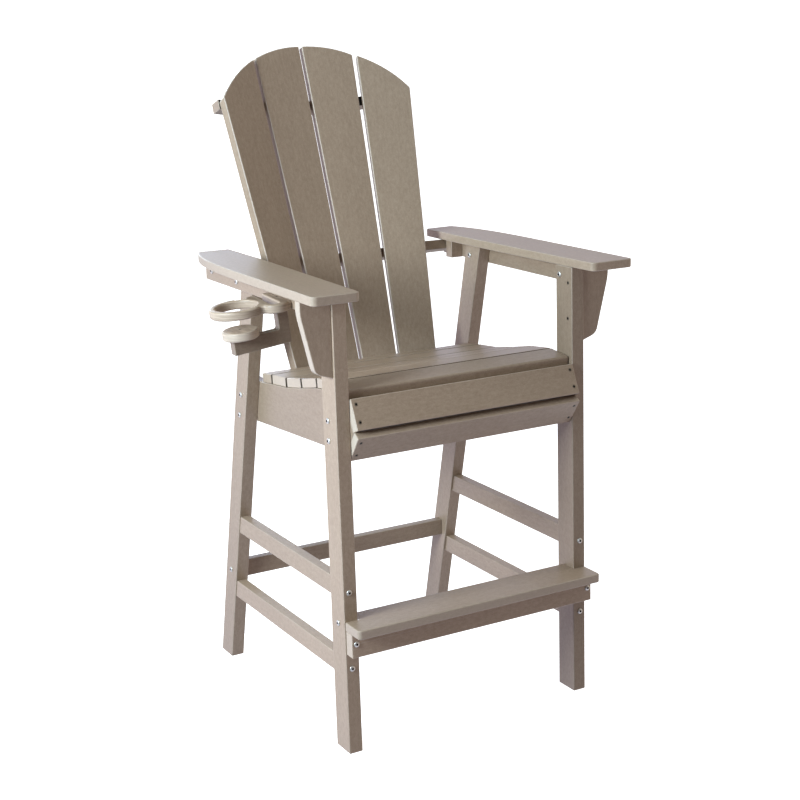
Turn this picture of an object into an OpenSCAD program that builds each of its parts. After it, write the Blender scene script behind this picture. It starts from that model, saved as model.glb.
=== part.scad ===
// Counter-height Adirondack chair with a footrest and a cup holder.
// +Z is up, the chair faces -Y, the cup holder is on the -X arm. Lengths are millimetres.

/* [Legs and stretchers] */

// Width over the outer faces of the legs
frame_width = 588; // [540:2:640]
// Thickness of a leg, across the chair
leg_thick = 30; // [26:1:34]
// Depth of a leg, front to back along the floor
leg_depth = 56; // [50:1:60]
// Rise over run of the front legs' lean, as run per unit of height
front_lean = 0.0203; // [0:0.001:0.04]
// Front edge of the rear legs at the floor
rear_foot_y = 582; // [570:1:596]
// Forward run of the rear legs per unit of height
rear_lean = 0.2281; // [0.2:0.005:0.25]
// Thickness of the side stretchers
stretcher_thick = 23; // [20:1:25]
// Height of every stretcher board
stretcher_high = 40; // [34:0.5:42]
// How far the side stretchers sit in from the legs' outer faces
stretcher_inset = 2; // [0:0.5:4]
// Underside of the upper side stretchers
upper_stretcher_z = 325.5; // [310:0.5:340]
// Underside of the lower side stretchers
lower_stretcher_z = 162; // [150:1:180]
// Height of the rear stretcher board
rear_stretcher_high = 39.5; // [34:0.5:42]
// Underside of the rear stretcher
rear_stretcher_z = 203; // [190:1:220]
// Thickness of the rear stretcher
rear_stretcher_thick = 20; // [18:1:24]

/* [Footrest] */

// Underside of the foot rail
foot_rail_z = 215; // [205:1:225]
// Top of the foot rail, where the footrest board lies
foot_rail_top = 265; // [258:1:275]
// Thickness of the foot rail
foot_rail_thick = 25; // [20:1:28]
// How far the foot rail's ends sit in from the legs' outer faces
foot_rail_inset = 2; // [0:1:9]
// Thickness of the footrest board
footrest_thick = 19; // [16:1:22]
// How far the footrest board reaches in front of the origin plane
footrest_front = 52; // [40:1:70]
// How far the footrest board reaches back between the legs
footrest_back = 43; // [30:1:50]
// How far the footrest board's ends sit in from the legs' outer faces
footrest_inset = 1; // [0.5:0.5:8]
// Radius of the footrest board's front corners
footrest_corner = 8; // [6:1:24]

/* [Seat] */

// Thickness of the boards of the seat
slat_thick = 20; // [16:1:20]
// Gap between the ends of the seat slats and the legs
slat_gap = 2; // [1:0.5:6]
// Radius of the nose of the front slat
nose_radius = 5; // [3:1:18]
// Width of the apron boards
apron_wide = 64; // [60:1:66]
// Thickness of the apron boards
apron_thick = 18; // [16:1:18]
// Gap between the ends of the apron boards and the legs
apron_gap = 1; // [0.5:0.5:4]
// Lean of the upper apron from vertical
upper_apron_lean = 24.4; // [20:0.2:26]
// Lean of the lower apron from vertical
lower_apron_lean = 34; // [30:0.5:36]

/* [Back] */

// Lean of the back from vertical
recline = 20.16; // [18:0.2:22]
// Where the back's centre line passes through the height back_z
back_y = 469; // [465:1:475]
// Height of the back frame's origin
back_z = 740; // [735:1:745]
// Thickness of the back slats
back_thick = 20; // [18:1:22]
// Angle of the two inner slats' faces
inner_turn = 5.86; // [4:0.1:6]
// Angle of the two outer slats' faces
outer_turn = 18.2; // [17:0.1:19]
// Half of the gap between two back slats
half_gap = 3.6; // [2.5:0.1:4.5]
// Radius of the arc across the top of the back
crown_radius = 283.3; // [275:1:295]
// Height of that arc's centre along the slats
crown_centre = 397.9; // [385:1:410]
// Thickness of the curved back rails
back_rail_thick = 22; // [18:1:24]
// Half length of the upper back rail
upper_rail_half = 241; // [225:1:250]
// Drop from the top of the back to the underside of the upper back rail
upper_rail_drop = 144.7; // [120:1:180]

/* [Arms] */

// Top of the arm boards
arm_top = 954.5; // [945:0.5:965]
// Thickness of the arm boards
arm_thick = 18; // [15:0.5:20]
// Radius of the arm boards' front corners
arm_corner = 12; // [6:1:20]
// Thickness of the arm rails
arm_rail_thick = 20; // [18:1:22]
// Height of the arm rails
arm_rail_high = 40.5; // [36:0.5:46]
// Rear end of the arm rails
arm_rail_back = 572; // [568:1:576]
// Thickness of the corbels
corbel_thick = 20; // [18:1:22]
// How far the arm boards reach out past the legs
arm_over = 75; // [70:1:80]

/* [Cup holder] */

// How far the holder sags outwards
holder_tilt = 6.5; // [5:0.5:7]
// Height of the holder plate's top where it meets the arm rail
holder_z = 914; // [914:0.5:916]
// Distance of the ring's axis in front of the origin plane's far side
holder_y = 209; // [200:1:215]
// Distance of the ring's axis from the arm rail
ring_out = 92; // [90:0.5:96]
// Outer radius of the ring
ring_radius = 55; // [53:0.5:56]
// Radius of the cup hole
cup_radius = 42; // [38:0.5:45]
// Thickness of the holder plate and of the base disc
holder_thick = 18; // [16:0.5:18]
// Width of the slot for a glass stem
stem_slot = 16; // [12:0.5:17]
// Angle of that slot to the arm rail
slot_turn = 5.4; // [3:0.2:6]
// Radius of the base disc
disc_radius = 36.5; // [34:0.5:40]
// Drop from the plate's top to the disc's top
disc_drop = 48; // [44:1:52]

/* [Hardware] */

// Radius of a bolt's shank
bolt_radius = 3; // [2.5:0.5:4]
// Radius of a bolt's head
bolt_head = 6; // [5:0.5:7]
// Radius of a wood screw's shank
screw_radius = 2; // [1.5:0.25:2.5]
// Radius of a wood screw's head
screw_head = 4; // [3:0.25:4.5]
// Room round a shank in its hole
shank_room = 0.2; // [0.1:0.05:0.4]

/* [Hidden] */
$fn = 48;
e = 0.01;
leg_out = frame_width / 2;
leg_in = leg_out - leg_thick;
foot_rail_half = leg_out - foot_rail_inset;
footrest_half = leg_out - footrest_inset;
slat_half = leg_in - slat_gap;
apron_half = leg_in - apron_gap;
arm_under = arm_top - arm_thick;
front_angle = atan(front_lean);
rear_angle = atan(rear_lean);
rear_depth = leg_depth * cos(rear_angle);
stretcher_out = leg_out - stretcher_inset;
stretcher_mid = stretcher_out - stretcher_thick / 2;
rear_stretcher_mid = rear_foot_y + leg_depth / 2
    - rear_lean * (rear_stretcher_z + rear_stretcher_high / 2);
arm_rail_out = leg_out + arm_rail_thick;
arm_rail_z = arm_under - arm_rail_high;
corbel_y = front_lean * 900 + 3.4;

// Tops of the seat slats: front y, front z, rear y, rear z
slat_tops = [
    [25, 749, 86.5, 755.4], [91.5, 755.3, 156.4, 748], [161.4, 747, 226.2, 733.6],
    [231.2, 732.6, 296, 720.6], [301, 720, 365.8, 714], [370.8, 713.5, 414, 708.5]];
function slat_angle(s) = atan2(s[3] - s[1], s[2] - s[0]);
function slat_wide(s) = norm([s[2] - s[0], s[3] - s[1]]);
function slat_under(s) = let (a = slat_angle(s), dy = slat_thick * sin(a), dz = slat_thick * cos(a))
    [[s[0] + dy, s[1] - dz], [s[2] + dy, s[3] - dz]];

// Side panel: underside line, rear end behind the legs' front edges
panel_thick = 20;
panel_under_front = 624;
panel_under_rear = 592;
panel_rear_reach = 44;

// Aprons: bottom front edge of the upper one, top front edge of the lower one
upper_apron_foot = [-13.8, 677.1];
lower_apron_head = [-15, 660.75];
lower_apron_wide = apron_wide + 0.3;

// Edges of the back slats at a height t along the back: gap line and outer edge
gap_base = 93.6;
gap_fan = 0.05;
edge_base = 181.8;
edge_fan = 0.093;
function gap_line(t) = gap_base + gap_fan * t;
function edge_line(t) = edge_base + edge_fan * t;
outer_ref = gap_line(300) + half_gap;
outer_depth = 12;
slat_foot = -140;
slat_head = crown_centre + crown_radius + 20;
arm_back_rail_t = 180;
upper_back_rail_t = crown_centre + crown_radius - upper_rail_drop;
lower_back_rail_t = -120;
strap_from = 235;
strap_front = -19;
strap_rear = 16.5;

// Face lines of the slats' backs, as depth at a distance x from the centre
function inner_back(x) = back_thick / cos(inner_turn) - (x - half_gap) * tan(inner_turn);
function outer_back(x) = back_thick / cos(outer_turn) - outer_depth - (x - outer_ref) * tan(outer_turn);
back_knee = (back_thick / cos(outer_turn) - outer_depth + outer_ref * tan(outer_turn)
    - back_thick / cos(inner_turn) - half_gap * tan(inner_turn))
    / (tan(outer_turn) - tan(inner_turn));

// Middle of the whole object, which is where the row's origin is
low_x = -arm_rail_out - (ring_out + ring_radius) * cos(holder_tilt);
arm_wide_x = leg_out + arm_over;
mid_x = (low_x + arm_wide_x) / 2;
high_y = back_y + inner_back(half_gap) * cos(recline)
    + (crown_centre + sqrt(pow(crown_radius, 2) - pow(half_gap, 2))) * sin(recline);
mid_y = (high_y - footrest_front) / 2;

module placed() { translate([-mid_x, -mid_y, 0]) children(); }

// Draws the +X piece, or its mirror image for side = -1
module on_side(side) {
    if (side < 0) mirror([1, 0, 0]) children();
    else children();
}

// A flat board cut to an outline in the Y-Z plane, from x0 to x0 + thick
module side_board(x0, thick) {
    translate([x0, 0, 0]) rotate([90, 0, 90]) linear_extrude(thick) children();
}

// What a fillet of radius r takes off the corner p of a flat outline; way points out of it
module corner_cut(p, way, r) {
    translate(p) mirror([way[0] > 0 ? 0 : 1, 0]) mirror([0, way[1] > 0 ? 0 : 1]) difference() {
        translate([-r, -r]) square(r + 2);
        translate([-r, -r]) circle(r = r);
    }
}

// Frames that the fasteners of the raked legs share
module front_leg_face() { rotate([-front_angle, 0, 0]) children(); }
module rear_leg_face() {
    translate([0, rear_foot_y, 0]) rotate([rear_angle, 0, 0]) children();
}
// Frame of the back: Y goes to the rear through the slats, Z runs up them
module back_frame() {
    translate([0, back_y, back_z]) rotate([-recline, 0, 0]) children();
}
// Frame of the cup holder: its plate's top is Z = 0, the arm rail is at X = 0
module holder_frame() {
    translate([-arm_rail_out, holder_y, holder_z]) rotate([0, -holder_tilt, 0]) children();
}

// Fasteners: the seat under the head is at Z = 0 and the shank runs down
module bolt(shank) {
    difference() {
        rotate_extrude($fn = 32)
            polygon([[0, -0.2], [bolt_head, 0], [bolt_head, 1], [bolt_head - 0.8, 2.2],
                [bolt_head - 2.4, 3], [0, 3.2]]);
        translate([0, 0, 1.4]) cylinder(r = 2.2, h = 4, $fn = 6);
        translate([0, 0, -1]) cylinder(r = bolt_head + 1, h = 1);
    }
    translate([0, 0, -shank]) cylinder(r = bolt_radius, h = shank + 0.5, $fn = 24);
}
module bolt_hole(depth) {
    translate([0, 0, -depth]) cylinder(r = bolt_radius + shank_room, h = depth + 1, $fn = 24);
}
// A countersunk screw: its head lies flush with Z = 0
module screw(shank) {
    difference() {
        rotate_extrude($fn = 24)
            polygon([[0, -shank], [screw_radius * 0.4, -shank], [screw_radius, -shank + 4],
                [screw_radius, -screw_head + screw_radius - 0.6], [screw_head, -0.6],
                [screw_head, 0], [0, 0]]);
        for (a = [0, 90]) rotate([0, 0, a]) translate([-2.2, -0.45, -1.4]) cube([4.4, 0.9, 2]);
    }
}
module screw_hole(depth) {
    rotate_extrude($fn = 24)
        polygon([[0, -depth - 1], [screw_radius + shank_room, -depth - 1],
            [screw_radius + shank_room, -screw_head + screw_radius - 0.6 - shank_room],
            [screw_head + shank_room, -0.6 - shank_room], [screw_head + shank_room, 1], [0, 1]]);
}

// Places of the fasteners of one side; children are drawn with +Z out of the seat
module panel_bolt_places(side) {
    on_side(side) {
        for (z = [panel_under_front + 24, panel_under_front + 64.5])
            translate([leg_out, front_lean * z + 35, z]) rotate([0, 90, 0]) children();
        for (z = [panel_under_rear + 16, panel_under_rear + 63.5])
            translate([leg_out, rear_foot_y - rear_lean * z + 27.5, z]) rotate([0, 90, 0]) children();
    }
}
module front_stretcher_places(side) {
    on_side(side) front_leg_face()
        for (z = [lower_stretcher_z + 1.2, upper_stretcher_z - 1.8])
            translate([stretcher_mid + 0.5, 0, z + stretcher_high / 2]) rotate([90, 0, 0]) children();
}
module rear_bolt_places(side) {
    on_side(side) rear_leg_face()
        for (z = [lower_stretcher_z + 6.7, upper_stretcher_z + 11.7])
            translate([stretcher_mid, rear_depth, (z + stretcher_high / 2) / cos(rear_angle) ])
                rotate([-90, 0, 0]) children();
}
module rear_stretcher_places(side) {
    on_side(side)
        translate([leg_out, rear_stretcher_mid, rear_stretcher_z + rear_stretcher_high / 2])
            rotate([0, 90, 0]) children();
}
module footrest_bolt_places(side) {
    on_side(side) translate([leg_out, leg_depth / 2 + 4, foot_rail_top + footrest_thick / 2])
        rotate([0, 90, 0]) children();
}
module foot_rail_bolt_places(side) {
    on_side(side) front_leg_face()
        translate([leg_out - 12, -foot_rail_thick, foot_rail_z + 29])
            rotate([90, 0, 0]) children();
}
// Through bolts of the arm rail: outer heads, then the mirrored caps inside
arm_bolt_spots = [
    let (z = arm_rail_z + 20.8) [front_lean * z + 43, z],
    let (z = arm_rail_z + 17) [rear_foot_y - rear_lean * z + 36.25, z]];
module arm_rail_bolt_places(side) {
    on_side(side) for (p = arm_bolt_spots)
        translate([arm_rail_out, p[0], p[1]]) rotate([0, 90, 0]) children();
}
module arm_rail_cap_places(side) {
    on_side(side) for (p = arm_bolt_spots)
        translate([leg_in, p[0], p[1]]) rotate([0, -90, 0]) children();
}
module rail_end_bolt_places(side) {
    on_side(side) translate([arm_rail_out, arm_rail_back - 34, arm_rail_z + 22])
        rotate([0, 90, 0]) children();
}
module corbel_screw_places(side) {
    on_side(side) for (z = [arm_under - 108.5, arm_under - 33.5])
        translate([leg_in, corbel_y + corbel_thick / 2, z]) rotate([0, -90, 0]) children();
}
module apron_frame_upper() {
    translate([0, upper_apron_foot[0], upper_apron_foot[1]]) rotate([-upper_apron_lean, 0, 0])
        children();
}
module apron_frame_lower() {
    translate([0, lower_apron_head[0], lower_apron_head[1]]) rotate([lower_apron_lean, 0, 0])
        children();
}
module apron_screw_places(upper) {
    for (side = [-1, 1])
        if (upper) apron_frame_upper() for (z = [16, 52])
            translate([side * (leg_in - 11), 0, z]) rotate([90, 0, 0]) children();
        else apron_frame_lower() for (z = [-13, -48])
            translate([side * (leg_in - 11), 0, z]) rotate([90, 0, 0]) children();
}
module arm_screw_places(side) {
    on_side(side) {
        for (y = [110, 330, 480]) translate([leg_out + arm_rail_thick / 2, y, arm_rail_z])
            rotate([180, 0, 0]) children();
        translate([leg_in + 15, 500, arm_rail_z]) rotate([180, 0, 0]) children();
    }
}

module front_leg(side) {
    color([0.53, 0.49, 0.44]) placed() difference() {
        on_side(side) side_board(leg_in, leg_thick)
            polygon([[0, 0], [leg_depth, 0], [leg_depth + front_lean * arm_under, arm_under],
                [front_lean * arm_under, arm_under]]);
        panel_bolt_places(side) bolt_hole(leg_thick + 1);
        front_stretcher_places(side) bolt_hole(leg_depth + 2);
        footrest_bolt_places(side) bolt_hole(leg_thick + 1);
        foot_rail_bolt_places(side) bolt_hole(foot_rail_thick + 40);
        arm_rail_bolt_places(side) bolt_hole(arm_rail_thick + leg_thick + 1);
        corbel_screw_places(side) screw_hole(leg_thick + 1);
    }
}

module rear_leg(side) {
    color([0.53, 0.49, 0.44]) placed() difference() {
        on_side(side) side_board(leg_in, leg_thick)
            polygon([[rear_foot_y, 0], [rear_foot_y + leg_depth, 0],
                [rear_foot_y + leg_depth - rear_lean * arm_under, arm_under],
                [rear_foot_y - rear_lean * arm_under, arm_under]]);
        panel_bolt_places(side) bolt_hole(leg_thick + 1);
        rear_bolt_places(side) bolt_hole(rear_depth + 2);
        rear_stretcher_places(side) bolt_hole(leg_thick + 1);
        arm_rail_bolt_places(side) bolt_hole(arm_rail_thick + leg_thick + 1);
    }
}

module side_stretcher(side, z0) {
    color([0.55, 0.51, 0.46]) placed() difference() {
        on_side(side) side_board(stretcher_out - stretcher_thick, stretcher_thick)
            polygon([for (z = [z0, z0 + stretcher_high]) [front_lean * z + leg_depth, z],
                for (z = [z0 + stretcher_high, z0]) [rear_foot_y - rear_lean * z, z]]);
        front_stretcher_places(side) bolt_hole(leg_depth + 36);
        rear_bolt_places(side) bolt_hole(rear_depth + 36);
    }
}

module rear_stretcher() {
    color([0.55, 0.51, 0.46]) placed() difference() {
        translate([-leg_in, rear_stretcher_mid - rear_stretcher_thick / 2, rear_stretcher_z])
            cube([2 * leg_in, rear_stretcher_thick, rear_stretcher_high]);
        for (side = [-1, 1]) rear_stretcher_places(side) bolt_hole(leg_thick + 36);
    }
}

module foot_rail() {
    color([0.54, 0.5, 0.45]) placed() difference() {
        side_board(-foot_rail_half, 2 * foot_rail_half)
            polygon([[front_lean * foot_rail_z - foot_rail_thick, foot_rail_z],
                [front_lean * foot_rail_z, foot_rail_z], [front_lean * foot_rail_top, foot_rail_top],
                [front_lean * foot_rail_top - foot_rail_thick, foot_rail_top]]);
        for (side = [-1, 1]) foot_rail_bolt_places(side) bolt_hole(foot_rail_thick + 2);
    }
}

// The board is notched round both front legs and its front corners are rounded
module footrest_board() {
    notch_y = front_lean * foot_rail_top;
    color([0.58, 0.54, 0.49]) placed() difference() {
        translate([0, 0, foot_rail_top]) linear_extrude(footrest_thick) difference() {
            union() {
                translate([-footrest_half, -footrest_front])
                    square([2 * footrest_half, footrest_front + notch_y]);
                translate([-leg_in, notch_y - 5]) square([2 * leg_in, footrest_back - notch_y + 5]);
            }
            for (s = [-1, 1])
                corner_cut([s * footrest_half, -footrest_front], [s, -1], footrest_corner);
        }
        for (side = [-1, 1]) footrest_bolt_places(side) bolt_hole(leg_thick + 36);
    }
}

// Outline of the side panel: straight underside, top that follows the slats' undersides,
// front cut to the backs of the two aprons
module panel_outline() {
    tops = [for (s = slat_tops) for (p = slat_under(s)) p];
    difference() {
        polygon(concat([[-30, panel_under_front]], [[-30, tops[0][1]]], tops,
            [for (z = [slat_under(slat_tops[5])[1][1] + 1, panel_under_rear])
                [rear_foot_y - rear_lean * z + panel_rear_reach, z]]));
        translate(upper_apron_foot) rotate(-upper_apron_lean)
            translate([apron_thick - 200, -200]) square([200, 400]);
        translate(lower_apron_head) rotate(lower_apron_lean)
            translate([apron_thick - 200, -200]) square([200, 400]);
    }
}

module seat_panel(side) {
    color([0.56, 0.52, 0.47]) placed() difference() {
        on_side(side) side_board(leg_in - panel_thick, panel_thick) panel_outline();
        panel_bolt_places(side) bolt_hole(leg_thick + 15);
        apron_screw_places(true) screw_hole(apron_thick + 21);
        apron_screw_places(false) screw_hole(apron_thick + 21);
    }
}

module seat_slat(i) {
    s = slat_tops[i];
    color([0.6, 0.56, 0.51]) placed()
        translate([0, s[0], s[1]]) rotate([slat_angle(s), 0, 0])
            side_board(-slat_half, 2 * slat_half) {
                if (i == 0) difference() {
                    translate([0, -slat_thick]) square([slat_wide(s), slat_thick]);
                    difference() {
                        translate([-1, -nose_radius]) square(nose_radius + 1);
                        translate([nose_radius, -nose_radius]) circle(r = nose_radius);
                    }
                }
                else translate([0, -slat_thick]) square([slat_wide(s), slat_thick]);
            }
}

module upper_apron() {
    color([0.55, 0.5, 0.45]) placed() difference() {
        apron_frame_upper() translate([-apron_half, 0, 0])
            cube([2 * apron_half, apron_thick, apron_wide]);
        apron_screw_places(true) screw_hole(apron_thick + 2);
    }
}

module lower_apron() {
    color([0.55, 0.5, 0.45]) placed() difference() {
        apron_frame_lower() translate([-apron_half, 0, -lower_apron_wide])
            cube([2 * apron_half, apron_thick, lower_apron_wide]);
        apron_screw_places(false) screw_hole(apron_thick + 2);
    }
}

// Every top of the four back slats is trimmed by one arc
module crown() {
    rotate([90, 0, 0]) linear_extrude(400, center = true) union() {
        translate([0, crown_centre]) circle(r = crown_radius, $fn = 180);
        translate([-crown_radius, slat_foot - 10])
            square([2 * crown_radius, crown_centre - slat_foot + 10]);
    }
}

// Tapered board of one back slat, drawn in its own plane on the +X side
module slat_board(outer) {
    turn = outer ? outer_turn : inner_turn;
    ref = outer ? outer_ref : half_gap;
    ends = [slat_foot, slat_head];
    inside = [for (t = ends) outer ? (gap_line(t) + half_gap - ref) / cos(turn) : 0];
    outside = [for (t = ends) ((outer ? edge_line(t) : gap_line(t) - half_gap) - ref) / cos(turn)];
    translate([ref, outer ? -outer_depth : 0, 0]) rotate([0, 0, -turn])
        translate([0, back_thick, 0]) rotate([90, 0, 0]) linear_extrude(back_thick)
            polygon([[inside[0], slat_foot], [outside[0], slat_foot], [outside[1], slat_head],
                [inside[1], slat_head]]);
}

// Screws from behind, two per slat and rail: side, slat and rail pick the place
module back_screw_places(side, outer, rails = [upper_back_rail_t, arm_back_rail_t, lower_back_rail_t]) {
    turn = outer ? outer_turn : inner_turn;
    back_frame() on_side(side)
        translate([outer ? outer_ref : half_gap, outer ? -outer_depth : 0, 0]) rotate([0, 0, -turn])
            for (t = rails, k = [-1, 1])
                translate([(outer ? 28.8 + 0.075 * t : 43.5 + 0.025 * t) + k * 24, back_thick + 16,
                    t + back_rail_thick / 2]) rotate([-90, 0, 0]) children();
}

module back_slat(side, outer) {
    color([0.55, 0.51, 0.45]) placed() difference() {
        back_frame() intersection() {
            on_side(side) slat_board(outer);
            crown();
        }
        back_screw_places(side, outer) screw_hole(28);
    }
}

// Outline of a back rail: its front follows the slats' backs, its rear is one arc that ends
// at arc_half, and past it the rail goes on straight
module rail_outline(half, ends, arc_half, rear_end, rear_mid) {
    sag = rear_mid - rear_end;
    radius = (arc_half * arc_half + sag * sag) / (2 * sag);
    intersection() {
        polygon(concat(
            [[0, inner_back(0)], [back_knee, inner_back(back_knee)]], ends,
            [[half, 100], [-half, 100]],
            [for (i = [len(ends) - 1:-1:0]) [-ends[i][0], ends[i][1]]],
            [[-back_knee, inner_back(back_knee)]]));
        union() {
            translate([0, rear_mid - radius]) circle(r = radius, $fn = 360);
            if (half > arc_half) translate([-half - 10, rear_end - 100]) square([2 * half + 20, 100]);
        }
    }
}

module back_rail_holes() {
    for (side = [-1, 1], outer = [false, true]) back_screw_places(side, outer) {
        screw_hole(28);
        cylinder(r = screw_head + 1, h = 60);
    }
}

module upper_back_rail() {
    color([0.5, 0.46, 0.41]) placed() difference() {
        back_frame() translate([0, 0, upper_back_rail_t]) linear_extrude(back_rail_thick)
            rail_outline(upper_rail_half, [[upper_rail_half, outer_back(upper_rail_half)]],
                upper_rail_half, 4, 60);
        back_rail_holes();
    }
}

// Runs past the outer slats to the arm rails, to which its straight ends are bolted
module arm_back_rail() {
    color([0.5, 0.46, 0.41]) placed() difference() {
        back_frame() translate([0, 0, arm_back_rail_t]) linear_extrude(back_rail_thick)
            rail_outline(leg_out, [[206, outer_back(206)], [strap_from, strap_front],
                [leg_out, strap_front]], strap_from, strap_rear, 65);
        back_rail_holes();
        for (side = [-1, 1]) rail_end_bolt_places(side) bolt_hole(arm_rail_thick + 41);
    }
}

module lower_back_rail() {
    color([0.5, 0.46, 0.41]) placed() difference() {
        back_frame() translate([0, 0, lower_back_rail_t]) linear_extrude(back_rail_thick)
            rail_outline(leg_in - panel_thick,
                [[190, outer_back(190)], [leg_in - panel_thick, outer_back(190)]],
                leg_in - panel_thick, 20, 62);
        back_rail_holes();
    }
}

module arm_rail(side) {
    front = corbel_y + corbel_thick;
    color([0.56, 0.52, 0.47]) placed() difference() {
        on_side(side) translate([leg_out, front, arm_rail_z])
            cube([arm_rail_thick, arm_rail_back - front, arm_rail_high]);
        arm_rail_bolt_places(side) bolt_hole(arm_rail_thick + 1);
        rail_end_bolt_places(side) bolt_hole(arm_rail_thick + 1);
        arm_screw_places(side) screw_hole(arm_rail_high + 1);
    }
}

// Plan of the +X arm board: slightly flared inner edge, outer edge drawn in at the rear
module arm_plan() {
    r = arm_corner;
    o = arm_wide_x;
    i = leg_in + 3;
    difference() {
        polygon([[i, -50], [o, -50], [o, r - 50], [o - 1, 100], [o - 3, 250], [o - 4.5, 340],
            [o - 7, 400], [o - 11.5, 455], [o - 19, 505], [o - 29, 545], [o - 38, 570],
            [o - 44, 583], [o - 48, 586], [i - 10, 583], [i - 14.5, 579], [i - 14.5, 420],
            [i - 11.5, 300], [i - 7, 150], [i, r - 50]]);
        corner_cut([i, -50], [-1, -1], r);
        corner_cut([o, -50], [1, -1], r);
    }
}

module arm(side) {
    color([0.66, 0.64, 0.62]) placed() difference() {
        on_side(side) translate([0, 0, arm_under]) linear_extrude(arm_thick) arm_plan();
        arm_screw_places(side) screw_hole(arm_rail_high + 14);
    }
}

module corbel(side) {
    color([0.55, 0.51, 0.46]) placed() difference() {
        on_side(side) translate([0, corbel_y + corbel_thick, 0]) rotate([90, 0, 0])
            linear_extrude(corbel_thick)
                translate([leg_out, arm_under])
                    polygon([[0, -158.5], [26, -149.9], [31.5, -147], [36.3, -142.5],
                        [39.2, -137], [63.2, -39.5], [65, -30.5], [66, -20.5], [66, 0], [0, 0]]);
        corbel_screw_places(side) screw_hole(leg_thick + 16);
    }
}

module corner_block(side) {
    color([0.55, 0.51, 0.46]) placed() difference() {
        on_side(side) translate([leg_in, 488, arm_rail_z]) cube([leg_out - leg_in, 24.8, arm_rail_high]);
        arm_screw_places(side) screw_hole(arm_rail_high + 1);
    }
}

// Plan of the holder plate in its own frame: ring on the left, slotted lobe on the right
module holder_plan() {
    difference() {
        union() {
            translate([-ring_out, 0]) circle(r = ring_radius, $fn = 96);
            translate([-50.5, -44]) square([51.5, 93]);
            translate([-28, -44]) circle(r = 26.5, $fn = 96);
            translate([-10, -40]) circle(r = 22, $fn = 96);
            translate([-66, 20]) square([20, 20]);
            translate([-64.5, -52]) square([15, 20]);
        }
        translate([-ring_out, 0]) circle(r = cup_radius, $fn = 96);
        translate([-31, -48]) rotate(-slot_turn) stem_slot_cut();
        translate([-63.2, 49.6]) circle(r = 9.8);
        translate([-60.8, -54.7]) circle(r = 8.6);
    }
}
// The slot is round at its front end and open at the rear
module stem_slot_cut() {
    circle(r = stem_slot / 2);
    translate([-stem_slot / 2, 0]) square([stem_slot, 120]);
}

module holder_plate() {
    color([0.6, 0.56, 0.5]) placed() difference() {
        holder_frame() translate([0, 0, -holder_thick]) linear_extrude(holder_thick) holder_plan();
        translate([-arm_rail_out, holder_y - 150, holder_z - 60]) cube([60, 300, 120]);
        holder_screw_places(0) screw_hole(holder_thick + 1);
    }
}

// Post and bottom bar, cut from one board that hangs under the plate and the arm rail
module holder_bracket() {
    foot = disc_drop + holder_thick;
    color([0.54, 0.5, 0.45]) placed() difference() {
        holder_frame() translate([0, 10, 0]) rotate([90, 0, 0]) linear_extrude(20)
            difference() {
                union() {
                    translate([-12.3, -foot - 31]) square([23.5, foot + 31 - holder_thick]);
                    translate([-113.4, -foot - 31]) square([124.6, 31]);
                    translate([-17.3, -foot - 1]) square([6, 6]);
                }
                translate([-17.3, -foot + 5]) circle(r = 5);
            }
        translate([-arm_rail_out, holder_y - 30, arm_rail_z]) cube([60, 60, 60]);
        holder_screw_places(0) screw_hole(holder_thick + 22);
        holder_screw_places(1) screw_hole(holder_thick + 22);
    }
}

module holder_disc() {
    color([0.6, 0.56, 0.5]) placed() difference() {
        holder_frame() translate([-ring_out, 0, -disc_drop - holder_thick])
            cylinder(r = disc_radius, h = holder_thick, $fn = 72);
        holder_screw_places(1) screw_hole(holder_thick + 1);
    }
}

// 0: plate into the post, 1: disc into the bar
module holder_screw_places(which) {
    holder_frame() {
        if (which == 0) translate([-6, -5, 0]) children();
        if (which == 1) translate([-ring_out, 0, -disc_drop]) children();
    }
}

module panel_bolts() {
    color([0.75, 0.75, 0.76]) placed()
        for (side = [-1, 1]) panel_bolt_places(side) bolt(leg_thick + 14);
}
module stretcher_bolts() {
    color([0.75, 0.75, 0.76]) placed() for (side = [-1, 1]) {
        front_stretcher_places(side) bolt(leg_depth + 34);
        rear_bolt_places(side) bolt(leg_depth + 34);
    }
}
module rear_stretcher_bolts() {
    color([0.75, 0.75, 0.76]) placed()
        for (side = [-1, 1]) rear_stretcher_places(side) bolt(leg_thick + 34);
}
module footrest_bolts() {
    color([0.75, 0.75, 0.76]) placed()
        for (side = [-1, 1]) footrest_bolt_places(side) bolt(leg_thick + 34);
}
module foot_rail_bolts() {
    color([0.75, 0.75, 0.76]) placed()
        for (side = [-1, 1]) foot_rail_bolt_places(side) bolt(foot_rail_thick + 36);
}
module arm_rail_bolts() {
    color([0.75, 0.75, 0.76]) placed() for (side = [-1, 1]) {
        arm_rail_bolt_places(side) bolt(arm_rail_thick + leg_thick - 6);
        arm_rail_cap_places(side) bolt(5.5);
        rail_end_bolt_places(side) bolt(arm_rail_thick + 39);
    }
}
module corbel_screws() {
    color([0.3, 0.28, 0.26]) placed()
        for (side = [-1, 1]) corbel_screw_places(side) screw(leg_thick + 15);
}
module apron_screws() {
    color([0.3, 0.28, 0.26]) placed()
        for (upper = [true, false]) apron_screw_places(upper) screw(apron_thick + 20);
}
module back_slat_screws() {
    color([0.3, 0.28, 0.26]) placed()
        for (side = [-1, 1], outer = [false, true]) back_screw_places(side, outer) screw(27);
}
module arm_screws() {
    color([0.3, 0.28, 0.26]) placed()
        for (side = [-1, 1]) arm_screw_places(side) screw(arm_rail_high + 12);
}
module holder_screws() {
    color([0.3, 0.28, 0.26]) placed() {
        holder_screw_places(0) screw(holder_thick + 20);
        holder_screw_places(1) screw(holder_thick + 20);
    }
}

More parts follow.
